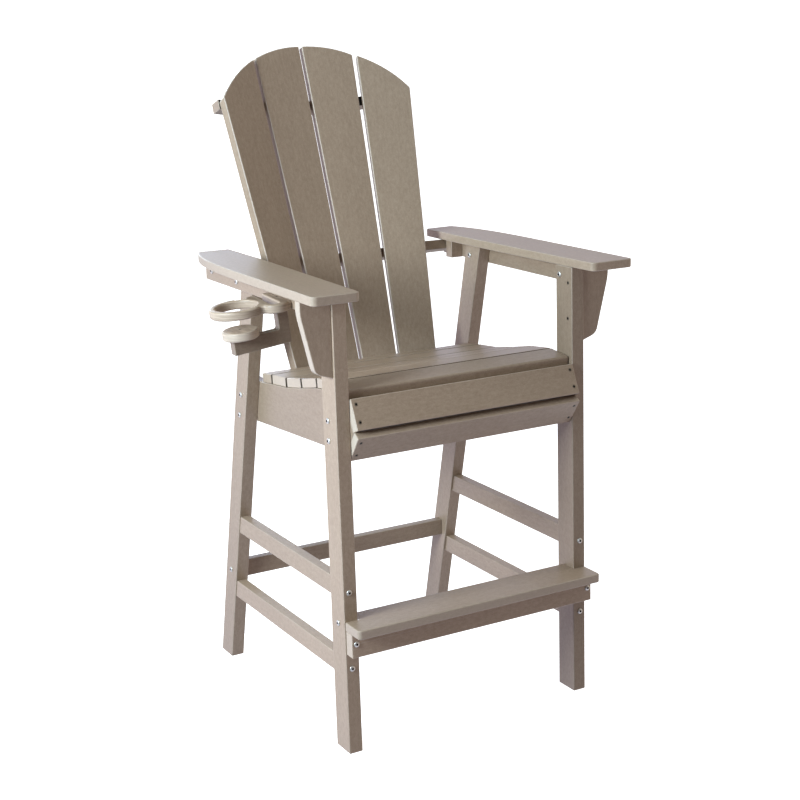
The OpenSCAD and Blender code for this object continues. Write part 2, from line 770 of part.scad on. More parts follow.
front_leg(-1);  // front_leg_left
front_leg(1);  // front_leg_right
rear_leg(-1);  // rear_leg_left
rear_leg(1);  // rear_leg_right
side_stretcher(-1, upper_stretcher_z);  // upper_stretcher_left
side_stretcher(1, upper_stretcher_z);  // upper_stretcher_right
side_stretcher(-1, lower_stretcher_z);  // lower_stretcher_left
side_stretcher(1, lower_stretcher_z);  // lower_stretcher_right
rear_stretcher();
foot_rail();
footrest_board();
seat_panel(-1);  // seat_panel_left
seat_panel(1);  // seat_panel_right
seat_slat(0);  // seat_slat_front
seat_slat(1);  // seat_slat_2
seat_slat(2);  // seat_slat_3
seat_slat(3);  // seat_slat_4
seat_slat(4);  // seat_slat_5
seat_slat(5);  // seat_slat_rear
upper_apron();
lower_apron();
back_slat(-1, true);  // back_slat_1
back_slat(-1, false);  // back_slat_2
back_slat(1, false);  // back_slat_3
back_slat(1, true);  // back_slat_4
upper_back_rail();
arm_back_rail();
lower_back_rail();
arm_rail(-1);  // arm_rail_left
arm_rail(1);  // arm_rail_right
arm(-1);  // arm_left
arm(1);  // arm_right
corbel(-1);  // corbel_left
corbel(1);  // corbel_right
corner_block(-1);  // corner_block_left
corner_block(1);  // corner_block_right
holder_plate();
holder_bracket();
holder_disc();
panel_bolts();
stretcher_bolts();
rear_stretcher_bolts();
footrest_bolts();
foot_rail_bolts();
arm_rail_bolts();
corbel_screws();
apron_screws();
back_slat_screws();
arm_screws();
holder_screws();
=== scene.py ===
import math

import bmesh
import bpy
from mathutils import Matrix, Vector


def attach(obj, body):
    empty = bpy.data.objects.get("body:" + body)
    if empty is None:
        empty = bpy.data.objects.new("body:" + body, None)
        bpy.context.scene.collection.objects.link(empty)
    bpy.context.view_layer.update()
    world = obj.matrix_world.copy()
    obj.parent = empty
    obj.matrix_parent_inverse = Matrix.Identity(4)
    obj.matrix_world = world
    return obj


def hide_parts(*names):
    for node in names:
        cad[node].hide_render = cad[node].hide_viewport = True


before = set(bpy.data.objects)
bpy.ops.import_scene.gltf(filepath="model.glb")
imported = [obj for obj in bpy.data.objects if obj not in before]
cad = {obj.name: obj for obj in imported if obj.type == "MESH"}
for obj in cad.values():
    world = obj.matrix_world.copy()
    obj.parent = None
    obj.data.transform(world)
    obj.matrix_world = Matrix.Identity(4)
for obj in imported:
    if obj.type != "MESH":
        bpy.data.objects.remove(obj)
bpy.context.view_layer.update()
print("frame loaded:", len(cad), "nodes")

mm = 0.001


def screenColour(red, green, blue):
    # 0-255 as a screen shows it, turned into the linear colour that sockets take
    return tuple(((v / 255 + 0.055) / 1.055) ** 2.4 for v in (red, green, blue)) + (1.0,)


class wire:
    # one output socket, which can be added and multiplied like a number
    def __init__(self, bench, socket):
        self.bench = bench
        self.socket = socket

    def joined(self, operation, first, second):
        return self.bench.add("ShaderNodeMath", {"operation": operation}, {0: first, 1: second})

    def __add__(self, other):
        return self.joined("ADD", self, other)

    def __radd__(self, other):
        return self.joined("ADD", other, self)

    def __sub__(self, other):
        return self.joined("SUBTRACT", self, other)

    def __rsub__(self, other):
        return self.joined("SUBTRACT", other, self)

    def __mul__(self, other):
        return self.joined("MULTIPLY", self, other)

    def __rmul__(self, other):
        return self.joined("MULTIPLY", other, self)

    def __truediv__(self, other):
        return self.joined("DIVIDE", self, other)


class nodeBench:
    # a node tree that nodes are added to
    def __init__(self, tree):
        self.tree = tree

    def node(self, kind, settings=None, sockets=None):
        made = self.tree.nodes.new(kind)
        for name, value in (settings or {}).items():
            setattr(made, name, value)
        for key, value in (sockets or {}).items():
            if isinstance(value, wire):
                self.tree.links.new(value.socket, made.inputs[key])
            else:
                made.inputs[key].default_value = value
        return made

    def add(self, kind, settings=None, sockets=None, out=0):
        return wire(self, self.node(kind, settings, sockets).outputs[out])

    def mixed(self, amount, first, second):
        return self.add("ShaderNodeMix", {"data_type": "RGBA"}, {0: amount, 6: first, 7: second}, 2)

    def stretched(self, vector, scale):
        return self.add("ShaderNodeVectorMath", {"operation": "MULTIPLY"}, {0: vector, 1: scale})


def newMaterial(name):
    material = bpy.data.materials.new(name)
    material.use_nodes = True
    material.node_tree.nodes.clear()
    return material, nodeBench(material.node_tree)


# An object of the scene that shows a mesh, a curve, a lamp or a camera
def placed(name, data):
    made = bpy.data.objects.new(name, data)
    bpy.context.scene.collection.objects.link(made)
    return made


# Recycled-plastic lumber: taupe, with a brushed grain that runs along each board.
# Every board carries its own grain coordinates, its tone with painted light, and a mask of painted
# highlight on edges and ends.
# Each kind of mark in the grain has a fineness along, across and through a board.
lumberLook = {
    "dark": screenColour(135, 114, 95),
    "light": screenColour(178, 157, 136),
    # The edge colour is a painted highlight on rounded edges, ends and rims
    "edge": screenColour(206, 193, 179),
    "streak": {"size": (14, 230, 230), "amount": 0.32, "detail": 3.0, "roughness": 0.55},
    "fleck": {"size": (300, 560, 560), "amount": 0.7, "detail": 2.0, "roughness": 0.7},
    "mottle": {"size": (95, 170, 170), "amount": 0.68, "detail": 2.0, "roughness": 0.6},
    "cloud": {"size": (2.2, 9, 9), "amount": 0.3, "detail": 2.0, "roughness": 0.55},
    "edgeHighlightAmount": 0.65, "layerAmount": 3.2,
    "roughness": 0.42, "roughnessSwing": 0.16, "edgeRoughness": 0.1, "specular": 0.52,
    "bumpStrength": 0.55, "grainDepth": 0.22 * mm, "streakHeight": 1.2,
}


def lumberMaterial(look):
    material, bench = newMaterial("brushedTaupeLumber")
    grain = bench.add("ShaderNodeAttribute", {"attribute_name": "grain"}, None, "Vector")
    toneAndPaintedLight, edge, layered = (
        bench.add("ShaderNodeAttribute", {"attribute_name": label}, None, "Fac")
        for label in ("toneAndPaintedLight", "edge", "layered"))

    def noise(layer):
        return bench.add("ShaderNodeTexNoise", None, {
            "Vector": bench.stretched(grain, layer["size"]), "Scale": 1.0,
            "Detail": layer["detail"], "Roughness": layer["roughness"]}) - 0.5

    streak, fleck, mottle, cloud = (
        noise(look[label]) for label in ("streak", "fleck", "mottle", "cloud"))
    shade = (0.5 + streak * (look["streak"]["amount"] + layered * look["layerAmount"])
             + fleck * look["fleck"]["amount"]
             + mottle * look["mottle"]["amount"] + cloud * look["cloud"]["amount"])
    body = bench.mixed(shade, look["dark"], look["light"])
    # The tone scales the colour: each board's own tone with painted light and shade, and painted shade
    # in narrow gaps
    body = bench.add("ShaderNodeVectorMath", {"operation": "SCALE"}, {0: body, "Scale": 1.0 + toneAndPaintedLight})
    # Painted highlight: the edge colour laid over rounded edges, ends and rims
    colour = bench.mixed(edge * look["edgeHighlightAmount"], body, look["edge"])
    rough = look["roughness"] + (streak + fleck) * look["roughnessSwing"] + edge * look["edgeRoughness"]
    bump = bench.add("ShaderNodeBump", None, {
        "Strength": look["bumpStrength"], "Distance": look["grainDepth"],
        "Height": streak * look["streakHeight"] + fleck})
    shader = bench.add("ShaderNodeBsdfPrincipled", None, {
        "Base Color": colour, "Roughness": rough, "Normal": bump,
        "Specular IOR Level": look["specular"]})
    bench.node("ShaderNodeOutputMaterial", None, {"Surface": shader})
    return material


# The socket colour is painted shade in the sockets and recesses
metalLook = {
    "stainless": {"dark": screenColour(196, 193, 188), "light": screenColour(240, 237, 231),
                  "socket": screenColour(48, 45, 43), "roughness": 0.4, "metal": 0.8},
    "bronzed": {"dark": screenColour(104, 92, 78), "light": screenColour(166, 152, 134),
                "socket": screenColour(22, 18, 15), "roughness": 0.42, "metal": 0.6},
}
# The fine blotches and scratches that both metals have
metalGrain = {"blotchScale": 420.0, "blotchDetail": 3.0, "blotchShare": 0.7,
              "scratchSize": (2600, 500, 900), "scratchDetail": 2.0, "scratchShare": 0.3,
              "roughnessSwing": 0.2, "bumpStrength": 0.3, "scratchDepth": 0.05 * mm}


def metalMaterial(name, look, wear):
    material, bench = newMaterial(name)
    place = bench.add("ShaderNodeTexCoord", None, None, "Object")
    blotch = bench.add("ShaderNodeTexNoise", None, {
        "Vector": place, "Scale": wear["blotchScale"], "Detail": wear["blotchDetail"]})
    scratch = bench.add("ShaderNodeTexNoise", None, {
        "Vector": bench.stretched(place, wear["scratchSize"]), "Scale": 1.0,
        "Detail": wear["scratchDetail"]})
    # Sockets and recesses get painted shade, darker than the heads round them
    recessShade = bench.add("ShaderNodeAttribute", {"attribute_name": "recessShade"}, None, "Fac")
    shade = blotch * wear["blotchShare"] + scratch * wear["scratchShare"]
    colour = bench.mixed(recessShade, bench.mixed(shade, look["dark"], look["light"]), look["socket"])
    bump = bench.add("ShaderNodeBump", None, {
        "Strength": wear["bumpStrength"], "Distance": wear["scratchDepth"], "Height": scratch})
    shader = bench.add("ShaderNodeBsdfPrincipled", None, {
        "Base Color": colour, "Metallic": look["metal"], "Normal": bump,
        "Roughness": look["roughness"] + (scratch - 0.5) * wear["roughnessSwing"]})
    bench.node("ShaderNodeOutputMaterial", None, {"Surface": shader})
    return material


lumber = lumberMaterial(lumberLook)
stainless = metalMaterial("satinStainless", metalLook["stainless"], metalGrain)
bronzed = metalMaterial("bronzedScrew", metalLook["bronzed"], metalGrain)
print("materials made")


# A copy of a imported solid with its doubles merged
def mergedCopy(name, within):
    shape = bmesh.new()
    shape.from_mesh(cad[name].data)
    bmesh.ops.remove_doubles(shape, verts=shape.verts, dist=within)
    return shape


# How the flats of a packed fastener are told apart, and how far from a fastener, across and
# along it, the small edges of a board belong to its hole
fastenerSearch = {"mergeWithin": 0.01 * mm, "leastArea": 1e-10, "levelsPerMetre": 2000,
                  "reach": 7.5 * mm, "below": 150 * mm, "above": 50 * mm}


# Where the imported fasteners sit: the flat under a bolt's head, or the top of a flush screw,
# is the largest flat of each solid. Each gives its seat, its axis and the length of its shank.
def fastenerSpots(name, flush):
    shape = mergedCopy(name, fastenerSearch["mergeWithin"])
    # A dictionary keeps the faces in order, which a set doesn't, so every run gives the same axes
    left = dict.fromkeys(shape.faces)
    spots = []
    while left:
        solid, ahead = [], [left.popitem()[0]]
        while ahead:
            face = ahead.pop()
            solid.append(face)
            for edge in face.edges:
                for other in edge.link_faces:
                    if other in left:
                        del left[other]
                        ahead.append(other)
        flats = {}
        for face in solid:
            if face.calc_area() > fastenerSearch["leastArea"]:
                level = face.normal.dot(face.calc_center_median())
                key = (*(round(v, 2) for v in face.normal),
                       round(level * fastenerSearch["levelsPerMetre"]))
                flats.setdefault(key, []).append(face)
        best = max(flats.values(), key=lambda faces: sum(f.calc_area() for f in faces))
        area = sum(f.calc_area() for f in best)
        seat = sum((f.calc_center_median() * f.calc_area() for f in best), Vector()) / area
        axis = best[0].normal.copy() * (1 if flush else -1)
        points = {v for f in solid for v in f.verts}
        shank = -min((v.co - seat).dot(axis) for v in points)
        spots.append((seat, axis, shank))
    shape.free()
    return sorted(spots, key=lambda s: tuple(round(v, 4) for v in s[0]))


hardware = {
    "panel_bolts": "bolt", "stretcher_bolts": "bolt", "rear_stretcher_bolts": "bolt",
    "footrest_bolts": "bolt", "foot_rail_bolts": "bolt", "arm_rail_bolts": "bolt",
    "corbel_screws": "screw", "apron_screws": "screw", "back_slat_screws": "screw",
    "arm_screws": "screw", "holder_screws": "screw",
}
spots = {name: fastenerSpots(name, kind == "screw") for name, kind in hardware.items()}
print("fasteners found:", sum(len(s) for s in spots.values()))


def nearFastener(point):
    for group in spots.values():
        for seat, axis, shank in group:
            along = (point - seat).dot(axis)
            across = (point - seat) - axis * along
            beside = -fastenerSearch["below"] < along < fastenerSearch["above"]
            if beside and across.length < fastenerSearch["reach"]:
                return True
    return False


def direction(*values):
    return Vector(values).normalized()


alongX, alongY, alongZ = Vector((1, 0, 0)), Vector((0, 1, 0)), Vector((0, 0, 1))
# The way that the back and the legs lean, and how far the back slats fan out sideways
recline = math.radians(20.16)
upBack = Vector((0, math.sin(recline), math.cos(recline)))
frontLeg = direction(0, 0.0203, 1)
rearLeg = direction(0, -0.2281, 1)
innerFan, outerFan = 0.025, 0.07

# Each board's length and width, for its grain, and how much lighter or darker it is: partly its own
# tone, partly painted light and shade for how brightly it is lit
boards = {
    "front_leg_left": (frontLeg, alongY, 0.09), "front_leg_right": (frontLeg, alongY, -0.14),
    "rear_leg_left": (rearLeg, alongY, -0.03), "rear_leg_right": (rearLeg, alongY, 0.0),
    "upper_stretcher_left": (alongY, alongZ, 0.04), "upper_stretcher_right": (alongY, alongZ, 0.01),
    "lower_stretcher_left": (alongY, alongZ, 0.13), "lower_stretcher_right": (alongY, alongZ, 0.02),
    "rear_stretcher": (alongX, alongZ, -0.12), "foot_rail": (alongX, alongZ, 0.22),
    "footrest_board": (alongX, alongY, -0.05),
    "seat_panel_left": (alongY, alongZ, -0.11), "seat_panel_right": (alongY, alongZ, -0.05),
    "seat_slat_front": (alongX, alongY, -0.03), "seat_slat_2": (alongX, alongY, 0.13),
    "seat_slat_3": (alongX, alongY, 0.18), "seat_slat_4": (alongX, alongY, 0.15),
    "seat_slat_5": (alongX, alongY, 0.15), "seat_slat_rear": (alongX, alongY, 0.1),
    "upper_apron": (alongX, alongZ, 0.06), "lower_apron": (alongX, alongZ, 0.07),
    "back_slat_1": (upBack - alongX * outerFan, alongX, 0.02),
    "back_slat_2": (upBack - alongX * innerFan, alongX, 0.03),
    "back_slat_3": (upBack + alongX * innerFan, alongX, 0.03),
    "back_slat_4": (upBack + alongX * outerFan, alongX, 0.0),
    "upper_back_rail": (alongX, alongY, -0.05), "arm_back_rail": (alongX, alongY, 0.0),
    "lower_back_rail": (alongX, alongY, -0.05),
    "arm_rail_left": (alongY, alongZ, 0.0), "arm_rail_right": (alongY, alongZ, -0.03),
    "arm_left": (alongY, alongX, -0.02), "arm_right": (alongY, alongX, 0.09),
    "corbel_left": (alongZ, alongX, 0.02), "corbel_right": (alongZ, alongX, -0.02),
    "corner_block_left": (alongZ, alongX, 0.0), "corner_block_right": (alongZ, alongX, 0.0),
    "holder_plate": (alongY, alongX, 0.06), "holder_bracket": (alongX, alongZ, -0.32),
    "holder_disc": (alongX, alongY, 0.14),
}
backSlats = ("back_slat_1", "back_slat_2", "back_slat_3", "back_slat_4")
seatSlats = ("seat_slat_2", "seat_slat_3", "seat_slat_4", "seat_slat_5")

# Convex edges that turn by more than sharpAbove are rounded, but not the small ones round a hole
boardFinish = {"edgeRadius": 1.9 * mm, "edgeSegments": 3, "sharpAbove": math.radians(28),
               "smallEdge": 5 * mm, "crispShare": 0.15, "crispLean": 0.8,
               "mergeWithin": 0.02 * mm, "dissolveBelow": math.radians(0.6)}
# Pieces that are milled rounder than the rest
softerEdges = {name: 2.5 * mm for name in backSlats}
softerEdges.update({"holder_plate": 4 * mm, "holder_disc": 3.6 * mm, "footrest_board": 2.6 * mm,
                    "arm_left": 2.2 * mm, "arm_right": 2.2 * mm})
# Ends and rims that catch the light get a painted highlight. They lie along or square to an axis:
# the axis, the least and the most that a face may lean along it, and how strong the highlight is.
highlightFaces = {name: (alongX, 0.8, 1.1, 0.62) for name in ("seat_slat_front", "foot_rail") + seatSlats}
highlightFaces.update({name: (alongX, 0.8, 1.1, 1.1) for name in ("upper_apron", "lower_apron")})
highlightFaces.update({name: (alongY, -0.1, 0.5, 0.8) for name in ("corbel_left", "corbel_right")})
highlightFaces.update({
    "seat_slat_rear": (alongX, 0.8, 1.1, 0.2), "footrest_board": (alongZ, -0.1, 0.6, 0.45),
    "arm_left": (alongZ, -0.1, 0.6, 0.35), "arm_right": (alongZ, -0.1, 0.6, 0.1),
    "holder_plate": (alongZ, -0.1, 0.6, 0.3), "holder_disc": (alongZ, -0.1, 0.6, 0.75)})
noHighlightFaces = (alongX, 2, 2, 0)    # no face leans by more than 1
# How strong the painted highlight on the rounded edges is, where it isn't the usual share
edgeHighlightShare = {name: 1.0 for name in backSlats}
edgeHighlightShare.update({"holder_plate": 0.3, "holder_disc": 0.5, "holder_bracket": 0.2})
usualEdgeHighlightShare = 0.45
# Faces that look into a narrow gap, where no light falls, get painted shade: which way they look,
# the tone of their painted shade, and the least area of such a face, which leaves out the walls of
# screw holes
intoSlats = alongX.cross(upBack)
holeWall = 4e-5
shadedFaces = {"upper_back_rail": [(intoSlats, -0.97, holeWall)],
               "lower_back_rail": [(intoSlats, -0.97, holeWall)],
               "upper_apron": [(-alongZ, -0.75, holeWall)], "seat_slat_front": [(alongY, -0.72, 0)]}
shadedFaces.update({name: [(alongY, -0.72, 0), (-alongY, -0.72, 0)]
                    for name in seatSlats + ("seat_slat_rear",)})
# How squarely a face has to look that way, or else both that way and sideways, as a slat's
# rounded ends do
shadedLean = {"square": 0.8, "turning": 0.35}
# Sides that lie against another board, whose edges stay nearly square
crispSides = {"upper_apron": (alongY,), "lower_apron": (alongY,), "seat_slat_front": (-alongZ,)}
# Pieces cut from sheet, whose layers show on the rims: how far their grain is stretched along
# their length, width and thickness
sheetBoards = {"holder_plate": (0.5, 0.08, 2.2), "holder_disc": (0.5, 0.08, 2.2)}
# How far apart the boards lie in the grain, so that no two look alike
grainStep = (0.731, 0.417, 0.293)


# The mesh that an object's modifiers give. The object itself is removed.
def evaluatedMesh(holder):
    graph = bpy.context.evaluated_depsgraph_get()
    mesh = bpy.data.meshes.new_from_object(holder.evaluated_get(graph))
    bpy.data.objects.remove(holder)
    return mesh


# Large flat faces shade flat, and the rounded edges take up the turn between them
def shadeByArea(holder):
    shading = holder.modifiers.new("shading", "WEIGHTED_NORMAL")
    shading.mode, shading.weight, shading.keep_sharp = "FACE_AREA", 100, True
    return shading


# A board as milled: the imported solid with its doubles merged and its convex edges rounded
def milledBoard(name):
    shape = mergedCopy(name, boardFinish["mergeWithin"])
    bmesh.ops.dissolve_limit(shape, angle_limit=boardFinish["dissolveBelow"],
                             verts=shape.verts, edges=shape.edges)
    weight = shape.edges.layers.float.new("bevel_weight_edge")
    for edge in shape.edges:
        if len(edge.link_faces) != 2:
            continue
        sharp = edge.calc_face_angle() > boardFinish["sharpAbove"]
        middle = (edge.verts[0].co + edge.verts[1].co) / 2
        small = edge.calc_length() < boardFinish["smallEdge"] and nearFastener(middle)
        rounded = sharp and edge.is_convex and not small
        hidden = any(face.normal.dot(side) > boardFinish["crispLean"]
                     for face in edge.link_faces for side in crispSides.get(name, ()))
        edge[weight] = (boardFinish["crispShare"] if hidden else 1.0) if rounded else 0.0
        edge.smooth = rounded or not sharp
    for face in shape.faces:
        face.smooth = True
    mesh = bpy.data.meshes.new(name)
    shape.to_mesh(mesh)
    shape.free()
    rough = placed(name + "_rough", mesh)
    # The bevel gives its faces the second slot, which tells them from the flats
    for slot in range(2):
        mesh.materials.append(lumber)
    bevel = rough.modifiers.new("edges", "BEVEL")
    bevel.limit_method, bevel.width = "WEIGHT", softerEdges.get(name, boardFinish["edgeRadius"])
    bevel.segments, bevel.use_clamp_overlap = boardFinish["edgeSegments"], False
    bevel.face_strength_mode, bevel.material, bevel.loop_slide = "FSTR_ALL", 1, False
    shadeByArea(rough).use_face_influence = True
    return evaluatedMesh(rough)


# What counts as level in a plate, the least step between two points of its outlines, the least
# width of an opening that is drawn, the steps of its rims, and the bores for its screws
plateDrawing = {"level": 0.999, "leastStep": 0.6 * mm, "leastOpening": 12 * mm, "rimSteps": 3,
                "boreSides": 24, "boreRadius": 4.05 * mm, "boreDepth": 3 * mm}


# The outlines of a plate's upper face, of which the screw holes' are left out
def plateOutlines(shape, up, top, flatten):
    level = plateDrawing["level"]
    ahead = {}
    for face in shape.faces:
        if face.normal.dot(up) > level and abs(face.calc_center_median().dot(up) - top) < mm:
            for loop in face.loops:
                if any(f.normal.dot(up) < level for f in loop.edge.link_faces):
                    ahead[loop.vert] = loop.link_loop_next.vert
    outlines = []
    while ahead:
        vert, path = next(iter(ahead)), []
        while vert in ahead:
            spot = flatten @ vert.co
            if not path or (spot - path[-1]).length > plateDrawing["leastStep"]:
                path.append(spot)
            vert = ahead.pop(vert)
        if max(p.x for p in path) - min(p.x for p in path) > plateDrawing["leastOpening"]:
            outlines.append(path)
    return outlines


# A short cylinder at each screw of the cup holder, to cut its bores with
def boreCutter(name):
    shape = bmesh.new()
    radius = plateDrawing["boreRadius"]
    for seat, axis, shank in spots["holder_screws"]:
        place = Matrix.Translation(seat) @ axis.to_track_quat("Z", "Y").to_matrix().to_4x4()
        bmesh.ops.create_cone(shape, cap_ends=True, segments=plateDrawing["boreSides"],
                              radius1=radius, radius2=radius,
                              depth=plateDrawing["boreDepth"], matrix=place)
    bores = bpy.data.meshes.new(name + "_bores")
    shape.to_mesh(bores)
    shape.free()
    return placed(name + "_bores", bores)


# A plate with its rims rounded over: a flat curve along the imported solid's outlines, filled and
# bevelled. Its screw holes are cut afterwards.
def routedPlate(name, up):
    shape = mergedCopy(name, boardFinish["mergeWithin"])
    levels = [v.co.dot(up) for v in shape.verts]
    middle, half = (max(levels) + min(levels)) / 2, (max(levels) - min(levels)) / 2
    sideways = alongY.cross(up).normalized()
    frameOf = Matrix((sideways, alongY, up)).transposed().to_4x4()
    curve = bpy.data.curves.new(name, "CURVE")
    curve.dimensions, curve.fill_mode = "2D", "BOTH"
    radius = softerEdges[name]
    curve.bevel_depth, curve.offset, curve.extrude = radius, -radius, half - radius
    curve.bevel_resolution = plateDrawing["rimSteps"]
    for path in plateOutlines(shape, up, max(levels), frameOf.inverted()):
        line = curve.splines.new("POLY")
        line.points.add(len(path) - 1)
        for point, spot in zip(line.points, path):
            point.co = (spot.x, spot.y, 0, 1)
        line.use_cyclic_u = True
    shape.free()
    plate = evaluatedMesh(placed(name + "_drawn", curve))
    plate.transform(Matrix.Translation(up * middle) @ frameOf)
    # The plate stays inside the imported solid's box
    corners = [v.co for v in cad[name].data.vertices]
    low, high = ([pick(v[k] for v in corners) for k in range(3)] for pick in (min, max))
    shape = bmesh.new()
    shape.from_mesh(plate)
    bmesh.ops.remove_doubles(shape, verts=shape.verts, dist=boardFinish["mergeWithin"])
    for vert in shape.verts:
        vert.co = Vector(min(max(v, a), b) for v, a, b in zip(vert.co, low, high))
    for face in shape.faces:
        face.smooth = True
    shape.to_mesh(plate)
    shape.free()
    rough = placed(name + "_rough", plate)
    cutter = boreCutter(name)
    cut = rough.modifiers.new("screw holes", "BOOLEAN")
    cut.operation, cut.object, cut.solver = "DIFFERENCE", cutter, "EXACT"
    shadeByArea(rough)
    plate = evaluatedMesh(rough)
    bpy.data.objects.remove(cutter)
    return plate


# Grain coordinates, tone with painted light and shade, and the painted highlight, which the material
# reads, and the finished piece
def dressedBoard(name, milled, length, width, toneAndPaintedLight, number):
    # Painted highlight at each point: the edges' share, then the ends' and rims'
    highlightAt = [edgeHighlightShare.get(name, usualEdgeHighlightShare)] * len(milled.vertices)
    # Tone at each point, with painted light and shade
    toneAndPaintedLightAt = [toneAndPaintedLight] * len(milled.vertices)
    axis, least, most, share = highlightFaces.get(name, noHighlightFaces)
    for polygon in milled.polygons:
        if polygon.material_index == 0:
            lean = abs(polygon.normal.dot(axis))
            for v in polygon.vertices:
                highlightAt[v] = share if least < lean < most else 0.0
    for polygon in milled.polygons:
        # Painted shade on faces that look into a narrow gap
        for way, paintedShade, area in shadedFaces.get(name, ()):
            facing, sideways = polygon.normal.dot(way), abs(polygon.normal.x)
            turning = min(facing, sideways) > shadedLean["turning"]
            if polygon.area > area and (facing > shadedLean["square"] or turning):
                for v in polygon.vertices:
                    toneAndPaintedLightAt[v] = paintedShade
                    highlightAt[v] = 0.0
        polygon.material_index = 0
    milled.materials.clear()
    milled.materials.append(lumber)
    across = (width - length * width.dot(length)).normalized()
    through = length.cross(across)
    shift = Vector([number * step for step in grainStep])
    squeeze = Vector(sheetBoards.get(name, (1, 1, 1)))
    kinds = {"grain": "FLOAT_VECTOR", "toneAndPaintedLight": "FLOAT", "edge": "FLOAT", "layered": "FLOAT"}
    for label, kind in kinds.items():
        milled.attributes.new(label, kind, "POINT")
    grain, tonesAndLight, edges, layers = (milled.attributes[label] for label in kinds)
    for i, vertex in enumerate(milled.vertices):
        p = vertex.co
        grain.data[i].vector = Vector((p.dot(length), p.dot(across), p.dot(through))) * squeeze + shift
        tonesAndLight.data[i].value = toneAndPaintedLightAt[i]
        edges.data[i].value = highlightAt[i]
        layers.data[i].value = 1.0 if name in sheetBoards else 0.0
    return placed(name + "_milled", milled)


routedPlates = {"holder_plate": direction(-0.113203, 0, 0.993572)}
for number, (name, (length, width, toneAndPaintedLight)) in enumerate(boards.items()):
    solid = routedPlate(name, routedPlates[name]) if name in routedPlates else milledBoard(name)
    piece = dressedBoard(name, solid, length.normalized(), width, toneAndPaintedLight, number)
    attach(piece, "root")
    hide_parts(name)
print("boards milled:", len(boards))


boltShape = {"Head Radius": 6 * mm, "Head Height": 2.4 * mm, "Rim": 0.8 * mm,
             "Recess Radius": 2.5 * mm, "Recess Depth": 1.9 * mm, "Shank Radius": 2.9 * mm}
screwShape = {"Head Radius": 3.9 * mm, "Head Height": 0.35 * mm, "Rim": 0.5 * mm,
              "Recess Radius": 2.4 * mm, "Recess Depth": 0.7 * mm, "Shank Radius": 1.9 * mm}
# How finely fasteners are made, how wide a cross recess is cut, and where the middle of a rod
# lies under its seat, in shank lengths. A screw's rod lies lower, which keeps its recess open.
fastenerMaking = {"segments": 24, "rings": 14, "socketSides": 6, "shankSides": 12,
                  "crossWidth": 0.8, "boltRod": -0.5, "screwRod": -0.53, "rimFrom": -0.01 * mm,
                  "sharpAbove": math.radians(38)}


